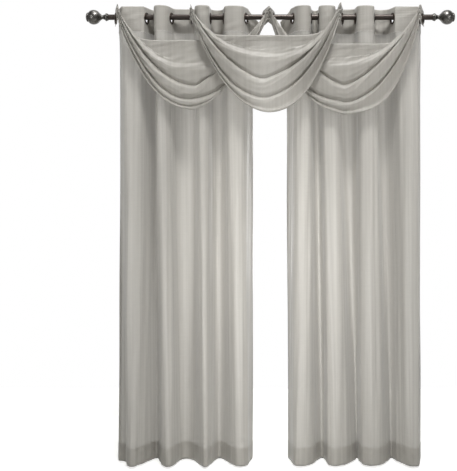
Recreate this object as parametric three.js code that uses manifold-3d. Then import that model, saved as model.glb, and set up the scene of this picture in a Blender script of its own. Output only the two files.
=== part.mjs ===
// A pair of sheer grommet curtains and three swag valances, hung on one rod with ball finials.
// Millimetres, +Z up. The origin is on the rod's axis at mid-length. The room side faces -Y.
import * as THREE from "three";
import { mergeVertices } from "three/addons/utils/BufferGeometryUtils.js";
import Module from "manifold-3d";

const wasm = await Module();
wasm.setup();

// Rod, and the gap left between pieces that touch
const ROD_RADIUS = 13;
const ROD_HALF_LENGTH = 760;
const ROD_SEGMENTS = 32;
const PIECE_GAP = 0.3;

// Finials, out from the rod's end: ferrule, turned ball on a narrow neck, and end button
const FINIAL_SEGMENTS = 24;
const COLLAR_LENGTH = 17;
const COLLAR_RADIUS = 18.5;
const BALL_RADIUS = 34;
const BALL_CENTRE = 68;
const BALL_START = 44;
const BALL_END = 92;
const BALL_STEPS = 8;
const NECK_RADIUS = 9.5;
const CAP_LENGTH = 11;
const CAP_RADIUS = 21.5;

// Eyelet rings: the rod carries each ring by the top of its bore
const RING_BORE_RADIUS = 20;
const RING_OUTER_RADIUS = 27.5;
const RING_GROOVE_RADIUS = 23.2;
const RING_HALF_GROOVE = 1.3;
const RING_HALF_THICKNESS = 3.5;
const RING_SEGMENTS = 16;
const RING_HANG_GAP = 0.9;
const RING_DROP = RING_BORE_RADIUS - ROD_RADIUS - RING_HANG_GAP;
const EYELET_RADIUS = 23.6;
const EYELET_DRILL = 14;

// Panels: finished length, flat width and the doubled heading band
const PANEL_LENGTH = 2134;
const PANEL_FLAT_WIDTH = 1270;
const PANEL_TOP = 45;
const PANEL_HEM = PANEL_TOP - PANEL_LENGTH;
const HEADING_DEPTH = 118;
const HEADING_FOOT = PANEL_TOP - HEADING_DEPTH;
const HEADING_THICKNESS = 2;
const PANEL_THICKNESS = 1.2;
const OUTER_RETURN = 60;
const INNER_RETURN = 80;
const EYELETS = 8;
const EYELET_PITCH = (PANEL_FLAT_WIDTH - OUTER_RETURN - INNER_RETURN) / (EYELETS - 1);
const FLAT_AT_EYELET = 28;
const FLAT_AT_HEM = 8;
const FOLD_STEPS = 6;
const RETURN_STEPS = 2;
const HEADING_LEVELS = 3;
const HEADING_GAP = 0.8;
const INNER_CORNER_SAG = 36;
const PANEL_LEVELS = 7;
const FOLD_EASE = 0.7;
const FOLD_HALVINGS = 24;

// Swag tabs: how far each gathered end reaches behind and before the rod, and how far its top and
// foot slope up towards its front edge
const SWAG_THICKNESS = 1.4;
const TAB_BEHIND = 28.5;
const TAB_FLAT = 30;
const TAB_FRONT = 52;
const TAB_FOOT = -40;
const TAB_BACK_FALL = 20;
const TAB_FLAT_FALL = 7;
const TAB_FOOT_RISE = 10;

// Swag bodies: the gathers beside the tabs, the steep first drop of the top lines, how wide the
// middle's point is, and how the cloth comes forward as it falls
const GATHER_TOP = 9;
const GATHER_FOOT = 6;
const EARLY_DROP = 22;
const EARLY_SQUARE = 18;
const POINT_SHARE = 0.25;
const PLEAT_DEPTH = 3;
const TAB_CLEARANCE = 6;
const SETTLE_START = 10;
const SETTLE_DROP = 110;
const RELIEF_AT_TAB = 0.4;
const RELIEF_SHARE = 0.4;

const CLOTH = { color: 0xa9a69e, roughness: 0.9, metalness: 0 };
const HEADING_CLOTH = { color: 0xb2afa7, roughness: 0.9, metalness: 0 };
const BRONZE = { color: 0x3a322e, roughness: 0.35, metalness: 0.8 };
const PEWTER = { color: 0x4a4846, roughness: 0.3, metalness: 0.9 };

// Turns rows of numbers into records with named columns.
function table(columns, ...rows) {
  return rows.map((row) => Object.fromEntries(columns.map((name, i) => [name, row[i]])));
}

// Where the cloth of each panel crosses the rod's line, from left to right. rodX and hemX are the
// places at the heading and the hem; the leans are degrees by which the cloth slants to the right.
const CROSSINGS = ["rodX", "hemX", "rodLean", "hemLean"];
const LEFT_PANEL = table(
  CROSSINGS,
  [-704, -674, 20, 10],
  [-581, -588, 18, 30],
  [-541, -515, 0, 15],
  [-464, -438, 17, 12],
  [-354, -344, 6, 24],
  [-283, -272, 4, 15],
  [-218, -194, 8, 28],
  [-115, -100, 20, 6],
);
const RIGHT_PANEL = table(
  CROSSINGS,
  [105, 101, 20, 6],
  [190, 204, 6, 24],
  [227, 264, 0, 6],
  [303, 372, 4, 34],
  [400, 424, 6, 10],
  [485, 538, 5, 28],
  [573, 610, 18, 24],
  [698, 700, 21, 8],
);

// Each panel's free edges: how much cloth turns back behind the rod beyond the end eyelets, how far
// those edges slant, in degrees, at the top, at the heading's foot and at the hem, and how far the
// heading's corner sags.
const LEFT_OUTER_EDGE = { back: OUTER_RETURN, topLean: 0, rodLean: 0, hemLean: 55, sag: 0 };
const RIGHT_OUTER_EDGE = { ...LEFT_OUTER_EDGE, hemLean: 13 };
const INNER_EDGE = {
  back: INNER_RETURN,
  topLean: 72,
  rodLean: 24,
  hemLean: 12,
  sag: INNER_CORNER_SAG,
};
const PANELS = {
  left: { rows: LEFT_PANEL, before: LEFT_OUTER_EDGE, after: INNER_EDGE },
  right: { rows: RIGHT_PANEL, before: INNER_EDGE, after: RIGHT_OUTER_EDGE },
};

// The section through a swag. line runs from 0 at the top hem over three folds to 4 at the bottom
// hem, below is the distance under that line, start the height at the gathered ends, and out how far
// the cloth stands forward.
const SWAG_SECTION = table(
  ["line", "below", "start", "out"],
  [0, 0, 34, 4],
  [0.55, 0, 32, 0],
  [1, -20, 31.5, 3],
  [1, 2, 31, 18],
  [1, 26, 29, 20],
  [1.55, 0, 27, 14],
  [2, -10, 25, -6],
  [2, 2, 22.5, 18],
  [2, 12, 20.5, 25],
  [2.5, 10, 13, 16],
  [3, -10, 9, -5],
  [3, 3, 5, 16],
  [3, 15, 0, 21],
  [4, -12, -13, 1],
  [4, 2, -22, 16],
);

// The five lines of each swag: low is the height at the lowest point, lowAt the place of that point
// from left (0) to right (1), leftSquare and rightSquare how square the curve is on each side, and
// point how much lower still the middle hangs.
const LINE = ["low", "lowAt", "leftSquare", "rightSquare", "point"];
const LEFT_LINES = table(
  LINE,
  [-122, 0.5, 7, 7, 0],
  [-241, 0.42, 1.9, 4.6, 0],
  [-333, 0.52, 2, 1.28, 1],
  [-395, 0.47, 2, 2.3, 0],
  [-431, 0.5, 2.35, 1.85, 6],
);
const MIDDLE_LINES = table(
  LINE,
  [-105, 0.48, 7, 7, 0],
  [-198, 0.59, 2.8, 2.45, 5],
  [-293, 0.48, 1.8, 2, 13],
  [-384, 0.49, 2.2, 2.1, 8],
  [-448, 0.53, 2.15, 2.4, 5],
);
const RIGHT_LINES = table(
  LINE,
  [-138, 0.5, 7, 7, 0],
  [-232, 0.48, 3, 2.3, 0],
  [-330, 0.49, 1.5, 1.55, 1],
  [-398, 0.51, 2.9, 2.1, 12],
  [-447, 0.52, 2.7, 3.1, 14],
);

// Each swag: where its two end tabs cross the rod, their turn in degrees (front edge towards the
// swag's middle), the height of their peaks, and the distance of its cloth before the rod's axis.
const SWAGS = {
  left: { lines: LEFT_LINES, ends: [-724, -29], turns: [15, -21], peaks: [53, 39], before: 77 },
  middle: { lines: MIDDLE_LINES, ends: [-370, 336], turns: [-2, 14], peaks: [50, 60], before: 112 },
  right: { lines: RIGHT_LINES, ends: [11, 713], turns: [-21, 21], peaks: [39, 49], before: 77 },
};
const SWAG_STATIONS = [0, 0.025, 0.07, 0.13, 0.2, 0.29, 0.39];

function mix(a, b, t) {
  return a + (b - a) * t;
}

function smooth(t) {
  const held = Math.min(Math.max(t, 0), 1);
  return held * held * (3 - 2 * held);
}

// Shape tools ------------------------------------------------------------------------------------

// A closed sheet of even thickness about a grid of points on its middle surface.
function sheetSolid(grid, thickness) {
  const rows = grid.length;
  const columns = grid[0].length;
  const positions = [];
  const across = new THREE.Vector3();
  const down = new THREE.Vector3();
  for (const side of [1, -1]) {
    for (let r = 0; r < rows; r++) {
      for (let c = 0; c < columns; c++) {
        across.subVectors(grid[r][Math.min(c + 1, columns - 1)], grid[r][Math.max(c - 1, 0)]);
        down.subVectors(grid[Math.min(r + 1, rows - 1)][c], grid[Math.max(r - 1, 0)][c]);
        const normal = across.clone().cross(down).normalize();
        const point = grid[r][c].clone().addScaledVector(normal, (side * thickness) / 2);
        positions.push(point.x, point.y, point.z);
      }
    }
  }
  const index = [];
  const back = rows * columns;
  const quad = (a, b, c, d) => index.push(a, b, c, a, c, d);
  for (let r = 0; r < rows - 1; r++) {
    for (let c = 0; c < columns - 1; c++) {
      const at = r * columns + c;
      quad(at, at + 1, at + columns + 1, at + columns);
      quad(back + at, back + at + columns, back + at + columns + 1, back + at + 1);
    }
  }
  for (let c = 0; c < columns - 1; c++) {
    const foot = (rows - 1) * columns + c;
    quad(c, back + c, back + c + 1, c + 1);
    quad(foot, foot + 1, back + foot + 1, back + foot);
  }
  for (let r = 0; r < rows - 1; r++) {
    const start = r * columns;
    const end = start + columns - 1;
    quad(start, start + columns, back + start + columns, back + start);
    quad(end, back + end, back + end + columns, end + columns);
  }
  const geometry = new THREE.BufferGeometry();
  geometry.setAttribute("position", new THREE.Float32BufferAttribute(positions, 3));
  geometry.setIndex(index);
  return geometry;
}

function toManifold(geometry) {
  const bare = geometry.clone();
  bare.deleteAttribute("normal");
  bare.deleteAttribute("uv");
  const merged = mergeVertices(bare, 1e-3);
  const vertProperties = new Float32Array(merged.attributes.position.array);
  const triVerts = new Uint32Array(merged.index.array);
  return new wasm.Manifold(new wasm.Mesh({ numProp: 3, vertProperties, triVerts }));
}

function fromManifold(solid) {
  const mesh = solid.getMesh();
  const geometry = new THREE.BufferGeometry();
  geometry.setAttribute("position", new THREE.Float32BufferAttribute(mesh.vertProperties, 3));
  geometry.setIndex(new THREE.BufferAttribute(mesh.triVerts, 1));
  return geometry;
}

// Turns a geometry made about the Y axis so that the axis points along the angle in plan.
function placeOnRod(geometry, x, z, angle) {
  return geometry
    .rotateZ(-Math.PI / 2)
    .rotateZ(angle)
    .translate(x, 0, z);
}

// Punches one round hole through a sheet for each eyelet.
function punch(sheet, eyelets) {
  let solid = toManifold(sheet);
  for (const { x, angle } of eyelets) {
    const drill = new THREE.CylinderGeometry(
      EYELET_RADIUS,
      EYELET_RADIUS,
      EYELET_DRILL,
      RING_SEGMENTS,
    );
    solid = solid.subtract(toManifold(placeOnRod(drill, x, -RING_DROP, angle)));
  }
  return fromManifold(solid);
}

// A body of revolution about the X axis, from [along, radius] pairs that start and end on it.
function turned(profile, segments) {
  const points = profile.map(([along, radius]) => new THREE.Vector2(radius, along));
  return new THREE.LatheGeometry(points, segments).rotateZ(-Math.PI / 2);
}

// Panels -----------------------------------------------------------------------------------------

// One end of the straight stretch of cloth at a crossing. way is -1 where the cloth heads for the
// room and 1 where it heads for the wall.
function slant(lean, way) {
  const angle = THREE.MathUtils.degToRad(lean);
  return new THREE.Vector2(Math.sin(angle), way * Math.cos(angle));
}

// The fold between two crossings: a curve that leaves along the first slant, arrives along the
// second, and is as long as the cloth between them.
function foldCurve(from, fromSlant, to, toSlant, length) {
  const curveWith = (reach) =>
    new THREE.CubicBezierCurve(
      from,
      from.clone().addScaledVector(fromSlant, reach),
      to.clone().addScaledVector(toSlant, -reach),
      to,
    );
  let low = 0;
  let high = length;
  for (let i = 0; i < FOLD_HALVINGS; i++) {
    const middle = (low + high) / 2;
    if (curveWith(middle).getLength() < length) low = middle;
    else high = middle;
  }
  return curveWith(low);
}

// The plan section of a panel, eased from its heading (0) to its hem (1).
function panelSection({ rows, before, after }, ease) {
  const flat = mix(FLAT_AT_EYELET, FLAT_AT_HEM, ease);
  const crossings = rows.map((row, i) => ({
    centre: new THREE.Vector2(mix(row.rodX, row.hemX, ease), 0),
    slant: slant(mix(row.rodLean, row.hemLean, ease ** 2), i % 2 ? 1 : -1),
  }));
  const points = [];
  const first = crossings[0];
  const last = crossings[crossings.length - 1];
  const startEdge = slant(mix(before.rodLean, before.hemLean, ease), -1);
  for (let i = 0; i < RETURN_STEPS; i++) {
    const away = mix(before.back, flat, i / RETURN_STEPS) - flat;
    const joint = first.centre.clone().addScaledVector(first.slant, -flat);
    points.push(joint.addScaledVector(startEdge, -away));
  }
  crossings.forEach(({ centre, slant: direction }, i) => {
    points.push(centre.clone().addScaledVector(direction, -flat));
    const leaving = centre.clone().addScaledVector(direction, flat);
    points.push(leaving);
    if (i === crossings.length - 1) return;
    const next = crossings[i + 1];
    const arriving = next.centre.clone().addScaledVector(next.slant, -flat);
    const length = EYELET_PITCH - 2 * flat;
    const curve = foldCurve(leaving, direction, arriving, next.slant, length);
    points.push(...curve.getSpacedPoints(FOLD_STEPS).slice(1, -1));
  });
  const endEdge = slant(mix(after.rodLean, after.hemLean, ease), 1);
  for (let i = 1; i <= RETURN_STEPS; i++) {
    const away = mix(flat, after.back, i / RETURN_STEPS) - flat;
    const joint = last.centre.clone().addScaledVector(last.slant, flat);
    points.push(joint.addScaledVector(endEdge, away));
  }
  return points;
}

function level(points, z) {
  return points.map((point) => new THREE.Vector3(point.x, point.y, z));
}

function headingEyelets({ rows }) {
  return rows.map((row, i) => ({
    x: row.rodX,
    angle: THREE.MathUtils.degToRad(i % 2 ? -row.rodLean : row.rodLean),
  }));
}

// One level of a heading. Its free corners slant and sag most at the top.
function headingLevel({ rows, before, after }, down) {
  const eased = (edge) => ({ ...edge, rodLean: mix(edge.topLean, edge.rodLean, down) });
  const section = panelSection({ rows, before: eased(before), after: eased(after) }, 0);
  const last = section.length - 1;
  return section.map((point, i) => {
    const startShare = Math.max(RETURN_STEPS - i, 0) / RETURN_STEPS;
    const endShare = Math.max(RETURN_STEPS - (last - i), 0) / RETURN_STEPS;
    const sag = (before.sag * startShare ** 2 + after.sag * endShare ** 2) * (1 - down);
    return new THREE.Vector3(point.x, point.y, mix(PANEL_TOP, HEADING_FOOT, down) - sag);
  });
}

function headingGeometry(panel) {
  const grid = [];
  for (let i = 0; i < HEADING_LEVELS; i++) grid.push(headingLevel(panel, i / (HEADING_LEVELS - 1)));
  return punch(sheetSolid(grid, HEADING_THICKNESS), headingEyelets(panel));
}

function panelGeometry(panel) {
  const grid = [];
  for (let i = 0; i < PANEL_LEVELS; i++) {
    const down = i / (PANEL_LEVELS - 1);
    const z = mix(HEADING_FOOT - HEADING_GAP, PANEL_HEM, down);
    grid.push(level(panelSection(panel, down ** FOLD_EASE), z));
  }
  return sheetSolid(grid, PANEL_THICKNESS);
}

// Swags ------------------------------------------------------------------------------------------

// Every row of a swag's sheet, with its share of the way down and the shape of its curve.
function drapeRows(lines) {
  return SWAG_SECTION.map(({ line, below, start, out }, i) => {
    const base = Math.min(Math.floor(line), lines.length - 2);
    const row = { share: i / (SWAG_SECTION.length - 1), start, out };
    for (const name of LINE) row[name] = mix(lines[base][name], lines[base + 1][name], line - base);
    return { ...row, low: row.low - below };
  });
}

// A point on an end tab, at a reach from the rod's axis towards the room. sign is 1 at the left end.
function tabPoint(x, turn, sign, reach, z) {
  const angle = THREE.MathUtils.degToRad(turn);
  return new THREE.Vector3(x + sign * Math.sin(angle) * reach, -Math.cos(angle) * reach, z);
}

// The tab's part of one line, from its back edge to its front edge.
function tabLine(x, turn, sign, peak, share) {
  return [
    tabPoint(x, turn, sign, -TAB_BEHIND, mix(peak - TAB_BACK_FALL, TAB_FOOT, share)),
    tabPoint(x, turn, sign, TAB_FLAT, mix(peak - TAB_FLAT_FALL, TAB_FOOT, share)),
    tabPoint(x, turn, sign, TAB_FRONT, mix(peak, TAB_FOOT + TAB_FOOT_RISE, share)),
  ];
}

// The middle surface of a swag: each line runs over one tab, down through the drape and over the
// other tab. The gathers leave the tabs' front edges and come forward as they fall.
function swagGrid({ lines, ends, turns, peaks, before }) {
  const stations = [
    ...SWAG_STATIONS,
    0.5,
    ...SWAG_STATIONS.map((station) => 1 - station).reverse(),
  ];
  const fronts = [
    tabPoint(ends[0], turns[0], 1, TAB_FRONT, 0),
    tabPoint(ends[1], turns[1], -1, TAB_FRONT, 0),
  ];
  return drapeRows(lines).map(({ share, start, low, lowAt, leftSquare, rightSquare, point, out }, row) => {
    const inset = mix(GATHER_TOP, GATHER_FOOT, share) + (row % 2 ? PLEAT_DEPTH : 0);
    const body = stations.map((station) => {
      const end = station < lowAt ? 0 : 1;
      const side = end === 0 ? station / lowAt : (1 - station) / (1 - lowAt);
      const top = start + (1 - share) * (peaks[end] - peaks[0]);
      const square = end === 0 ? leftSquare : rightSquare;
      const early = EARLY_DROP * (1 - share);
      const drop =
        (top - low - early) * (1 - (1 - side) ** square) +
        early * (1 - (1 - side) ** EARLY_SQUARE) +
        point * Math.max((side - 1 + POINT_SHARE) / POINT_SHARE, 0);
      const settled = smooth((drop + SETTLE_START) / SETTLE_DROP);
      const relief = out * mix(RELIEF_AT_TAB, 1, smooth(side / RELIEF_SHARE));
      return new THREE.Vector3(
        mix(fronts[0].x + inset, fronts[1].x - inset, station),
        mix(fronts[end].y - TAB_CLEARANCE, -before - relief, settled),
        top - drop,
      );
    });
    const left = tabLine(ends[0], turns[0], 1, peaks[0], share);
    const right = tabLine(ends[1], turns[1], -1, peaks[1], share);
    return [...left, ...body, ...right.reverse()];
  });
}

function swagEyelets({ ends, turns }) {
  return ends.map((x, i) => ({
    x,
    angle: THREE.MathUtils.degToRad(i ? -turns[i] : turns[i]),
  }));
}

function swagGeometry(swag) {
  return punch(sheetSolid(swagGrid(swag), SWAG_THICKNESS), swagEyelets(swag));
}

// Rod, finials and rings -------------------------------------------------------------------------

function rodGeometry() {
  const length = 2 * ROD_HALF_LENGTH;
  const tube = new THREE.CylinderGeometry(ROD_RADIUS, ROD_RADIUS, length, ROD_SEGMENTS);
  return tube.rotateZ(Math.PI / 2);
}

// A ring whose groove holds the cloth about its hole.
function ringGeometry() {
  const corners = [
    [RING_BORE_RADIUS, -RING_HALF_THICKNESS],
    [RING_OUTER_RADIUS, -RING_HALF_THICKNESS],
    [RING_OUTER_RADIUS, -RING_HALF_GROOVE],
    [RING_GROOVE_RADIUS, -RING_HALF_GROOVE],
    [RING_GROOVE_RADIUS, RING_HALF_GROOVE],
    [RING_OUTER_RADIUS, RING_HALF_GROOVE],
    [RING_OUTER_RADIUS, RING_HALF_THICKNESS],
    [RING_BORE_RADIUS, RING_HALF_THICKNESS],
    [RING_BORE_RADIUS, -RING_HALF_THICKNESS],
  ];
  const points = corners.map(([radius, along]) => new THREE.Vector2(radius, along));
  return new THREE.LatheGeometry(points, RING_SEGMENTS);
}

// Finial pieces, as [distance from the rod's end, radius].
const COLLAR_PROFILE = [
  [0, 0],
  [0, 14.5],
  [3, 17.6],
  [8, COLLAR_RADIUS],
  [13, 17.6],
  [COLLAR_LENGTH, 13],
  [COLLAR_LENGTH, 0],
];
const CAP_PROFILE = [
  [0, 0],
  [0, 19],
  [3, CAP_RADIUS],
  [7, 20.5],
  [CAP_LENGTH, 13],
  [CAP_LENGTH, 0],
];

// Bead, narrow neck and onion taper into the ball, cut flat where the end button sits.
function ballProfile() {
  const neck = [
    [COLLAR_LENGTH + PIECE_GAP, 0],
    [COLLAR_LENGTH + PIECE_GAP, 10],
    [19.5, 11.5],
    [22, NECK_RADIUS],
    [26, NECK_RADIUS],
    [32, 12],
    [38, 17],
  ];
  const from = Math.asin((BALL_START - BALL_CENTRE) / BALL_RADIUS);
  const to = Math.asin((BALL_END - BALL_CENTRE) / BALL_RADIUS);
  const arc = [];
  for (let i = 0; i <= BALL_STEPS; i++) {
    const angle = mix(from, to, i / BALL_STEPS);
    arc.push([BALL_CENTRE + BALL_RADIUS * Math.sin(angle), BALL_RADIUS * Math.cos(angle)]);
  }
  return [...neck, ...arc, [BALL_END, 0]];
}

// Assembly ---------------------------------------------------------------------------------------

const curtains = new THREE.Group();

function add(name, geometry, finish) {
  const mesh = new THREE.Mesh(geometry, new THREE.MeshStandardMaterial(finish));
  mesh.name = name;
  curtains.add(mesh);
}

function addRings(prefix, eyelets) {
  eyelets.forEach(({ x, angle }, i) => {
    const ring = placeOnRod(ringGeometry(), x, -RING_DROP, angle);
    add(`${prefix}_grommet_${i + 1}`, ring, BRONZE);
  });
}

add("rod", rodGeometry(), BRONZE);
const FINIAL_PIECES = [
  ["finial_collar", COLLAR_PROFILE, PIECE_GAP],
  ["finial_ball", ballProfile(), PIECE_GAP],
  ["finial_cap", CAP_PROFILE, BALL_END + 2 * PIECE_GAP],
];
for (const [name, profile, start] of FINIAL_PIECES) {
  const offset = ROD_HALF_LENGTH + start;
  add(`${name}_right`, turned(profile, FINIAL_SEGMENTS).translate(offset, 0, 0), PEWTER);
  const mirrored = turned(profile, FINIAL_SEGMENTS).rotateZ(Math.PI).translate(-offset, 0, 0);
  add(`${name}_left`, mirrored, PEWTER);
}
for (const [side, panel] of Object.entries(PANELS)) {
  add(`panel_${side}`, panelGeometry(panel), CLOTH);
  add(`heading_${side}`, headingGeometry(panel), HEADING_CLOTH);
  addRings(`panel_${side}`, headingEyelets(panel));
}
for (const [place, swag] of Object.entries(SWAGS)) {
  add(`swag_${place}`, swagGeometry(swag), CLOTH);
  addRings(`swag_${place}`, swagEyelets(swag));
}

export default curtains;
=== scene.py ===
import math

import bmesh
import bpy
import numpy as np
from mathutils import Matrix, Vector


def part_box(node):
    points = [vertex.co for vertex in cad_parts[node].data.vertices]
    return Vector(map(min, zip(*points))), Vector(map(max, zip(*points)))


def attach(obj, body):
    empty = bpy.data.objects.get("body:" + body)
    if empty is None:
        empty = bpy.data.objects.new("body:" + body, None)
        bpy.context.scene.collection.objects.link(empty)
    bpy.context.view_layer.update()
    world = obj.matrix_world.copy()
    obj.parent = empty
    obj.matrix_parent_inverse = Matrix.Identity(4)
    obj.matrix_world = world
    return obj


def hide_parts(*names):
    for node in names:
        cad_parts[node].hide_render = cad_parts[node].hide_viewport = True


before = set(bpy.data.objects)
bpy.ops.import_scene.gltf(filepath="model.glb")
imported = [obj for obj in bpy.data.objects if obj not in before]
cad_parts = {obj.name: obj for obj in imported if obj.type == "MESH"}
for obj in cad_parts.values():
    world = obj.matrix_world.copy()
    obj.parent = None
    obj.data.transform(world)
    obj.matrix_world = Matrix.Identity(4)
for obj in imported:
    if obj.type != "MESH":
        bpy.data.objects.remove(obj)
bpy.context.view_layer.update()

# Camera -------------------------------------------------------------------------------------------
# Level and square to the rod, a little over four metres out in the room, with the view moved across
# and down so that the whole pair hangs inside it.
room_view = bpy.data.cameras.new("room_view")
room_view.lens = 68.5
room_view.sensor_width = 36
room_view.shift_x = -0.089
room_view.shift_y = -0.101
camera = bpy.data.objects.new("room_view", room_view)
camera.location = (0, -4.2, -0.8)
camera.rotation_euler = (math.radians(90), 0, 0)
bpy.context.scene.collection.objects.link(camera)
bpy.context.scene.camera = camera

# Rod ----------------------------------------------------------------------------------------------
# A straight steel tube of 26 mm with an oil-rubbed bronze powder coat. It is one length, cut
# square, with the sharp edge taken off each end before the finials are pushed on.
MM = 0.001
rod_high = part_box("rod")[1]
rod_end = rod_high.x / MM
rod_radius = rod_high.z / MM
END_BEVEL = 0.8
TURNED_SEGMENTS = 64
SHARP_ANGLE = 40


def linear(hex_colour):
    """An sRGB hex colour as the linear colour that a shader takes."""
    channels = [int(hex_colour[i : i + 2], 16) / 255 for i in (1, 3, 5)]
    return [c / 12.92 if c <= 0.04045 else ((c + 0.055) / 1.055) ** 2.4 for c in channels] + [1]


def node(tree, kind, settings=None, links=None):
    """Adds a node to a material, with its settings and the outputs linked to its inputs."""
    new = tree.nodes.new(kind)
    for name, value in (settings or {}).items():
        if isinstance(name, str) and hasattr(new, name):
            setattr(new, name, value)
        else:
            new.inputs[name].default_value = value
    for name, source in (links or {}).items():
        tree.links.new(source, new.inputs[name])
    return new


def new_material(name):
    """An empty material, and its node tree."""
    material = bpy.data.materials.new(name)
    material.use_nodes = True
    material.node_tree.nodes.clear()
    return material, material.node_tree


def finish_material(tree, shader):
    """Links a material's last shader to its surface."""
    node(tree, "ShaderNodeOutputMaterial", {}, {"Surface": shader.outputs[0]})


def turned(name, profile, material, segments=TURNED_SEGMENTS):
    """A piece turned about the rod's axis, from (along, radius) pairs in millimetres."""
    shape = bmesh.new()
    line = [shape.verts.new((along * MM, 0, radius * MM)) for along, radius in profile]
    edges = [shape.edges.new(pair) for pair in zip(line, line[1:])]
    bmesh.ops.spin(
        shape,
        geom=line + edges,
        axis=(1, 0, 0),
        angle=2 * math.pi,
        steps=segments,
        use_merge=True,
    )
    bmesh.ops.remove_doubles(shape, verts=shape.verts, dist=1e-6)
    bmesh.ops.recalc_face_normals(shape, faces=shape.faces)
    mesh = bpy.data.meshes.new(name)
    shape.to_mesh(mesh)
    shape.free()
    mesh.materials.append(material)
    mesh.shade_smooth()
    mesh.set_sharp_from_angle(angle=math.radians(SHARP_ANGLE))
    piece = bpy.data.objects.new(name, mesh)
    bpy.context.scene.collection.objects.link(piece)
    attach(piece, "root")
    return piece


# Oil-rubbed bronze powder coat: a dark brown satin skin with a fine orange-peel and faint rub
# marks. The eye sees a near-black tube with one soft pale stripe along it.
powder_coat, tree = new_material("oil_rubbed_bronze_powder_coat")
place = node(tree, "ShaderNodeTexCoord").outputs["Object"]
cloudy = node(tree, "ShaderNodeTexNoise", {"Scale": 60, "Detail": 3}, {"Vector": place})
tone = node(
    tree,
    "ShaderNodeMix",
    {"data_type": "RGBA", 6: linear("#352f2c"), 7: linear("#48403b")},
    {"Factor": cloudy.outputs["Fac"]},
)
wear = node(
    tree,
    "ShaderNodeMapRange",
    {"To Min": 0.26, "To Max": 0.34},
    {"Value": cloudy.outputs["Fac"]},
)
peel = node(tree, "ShaderNodeTexNoise", {"Scale": 900, "Detail": 2}, {"Vector": place})
dimple = node(
    tree, "ShaderNodeBump", {"Strength": 0.15, "Distance": 0.0002}, {"Height": peel.outputs["Fac"]}
)
finish_material(
    tree,
    node(
        tree,
        "ShaderNodeBsdfPrincipled",
        {"Metallic": 0.6},
        {
            "Base Color": tone.outputs[2],
            "Roughness": wear.outputs["Result"],
            "Normal": dimple.outputs["Normal"],
        },
    ),
)
rod = turned(
    "rod_tube",
    [
        (-rod_end, 0),
        (-rod_end, rod_radius - END_BEVEL),
        (-rod_end + END_BEVEL, rod_radius),
        (rod_end - END_BEVEL, rod_radius),
        (rod_end, rod_radius - END_BEVEL),
        (rod_end, 0),
    ],
    powder_coat,
)
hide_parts("rod")

# Finials ------------------------------------------------------------------------------------------
# Each end carries a cast zinc finial in three turned steps: a ferrule that sleeves the rod, a ball
# on a narrow waist, and an end button. They are plated.
BALL_RADIUS = 34
BALL_CENTRE = 68


def arc(centre, radius, from_degrees, to_degrees, steps):
    """Points of a round shoulder, as (along, radius), measured from the piece's middle."""
    angles = np.radians(np.linspace(from_degrees, to_degrees, steps))
    return [(centre + radius * math.sin(a), radius * math.cos(a)) for a in angles]


ferrule = [
    (0.3, 13.3), (0.3, 15.2), (1.2, 16.4), (2.6, 16.6), (3.4, 15.6), (4.2, 15.6), (5.0, 17.4),
    (6.6, 18.4), (8.4, 18.6), (10.2, 18.2), (12.0, 17.2), (13.2, 15.8), (14.0, 14.2), (15.2, 13.6),
    (16.4, 13.0), (17.2, 11.6), (17.2, 0),
]
ball = (
    [(17.6, 0), (17.6, 9.6), (18.4, 11.2), (19.8, 11.9), (21.2, 11.2), (22.4, 9.8), (24.2, 9.2),
     (26.4, 9.5), (29.0, 10.4), (32.0, 12.2), (35.0, 14.6), (38.0, 17.4), (41.0, 20.4)]
    + arc(BALL_CENTRE, BALL_RADIUS, -45, 33, 40)
    + [(87.0, 27.2), (87.6, 26.2), (88.6, 25.8), (89.6, 25.4), (91.2, 23.6), (92.2, 21.4),
       (92.2, 0)]
)
button = [
    (92.7, 0), (92.7, 18.6), (93.4, 20.4), (94.6, 21.4), (96.4, 21.5), (98.2, 20.9), (99.8, 19.4),
    (101.0, 17.4), (101.4, 15.6), (101.8, 15.0), (102.6, 14.0), (103.4, 11.0), (103.8, 6.0),
    (103.9, 0),
]

# Antique pewter plate on zinc: a dark satin metal, so the eye gets one tall soft highlight on each
# side of the ball with dark grey between them, and a slightly duller tone where it is rubbed less.
pewter, tree = new_material("antique_pewter_plate")
place = node(tree, "ShaderNodeTexCoord").outputs["Object"]
rubbed = node(
    tree, "ShaderNodeTexNoise", {"Scale": 25, "Detail": 3, "Roughness": 0.5}, {"Vector": place}
)
tone = node(
    tree,
    "ShaderNodeMix",
    {"data_type": "RGBA", 6: linear("#686663"), 7: linear("#706e6b")},
    {"Factor": rubbed.outputs["Fac"]},
)
polish = node(
    tree, "ShaderNodeMapRange", {"To Min": 0.33, "To Max": 0.36}, {"Value": rubbed.outputs["Fac"]}
)
finish_material(
    tree,
    node(
        tree,
        "ShaderNodeBsdfPrincipled",
        {"Metallic": 1.0},
        {"Base Color": tone.outputs[2], "Roughness": polish.outputs["Result"]},
    ),
)
for side, way in (("left", -1), ("right", 1)):
    for part, profile in (("collar", ferrule), ("ball", ball), ("cap", button)):
        outline = [(way * (rod_end + along), radius) for along, radius in profile]
        piece = turned(f"{side}_finial_{part}", outline, pewter)
        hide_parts(f"finial_{part}_{side}")

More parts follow.
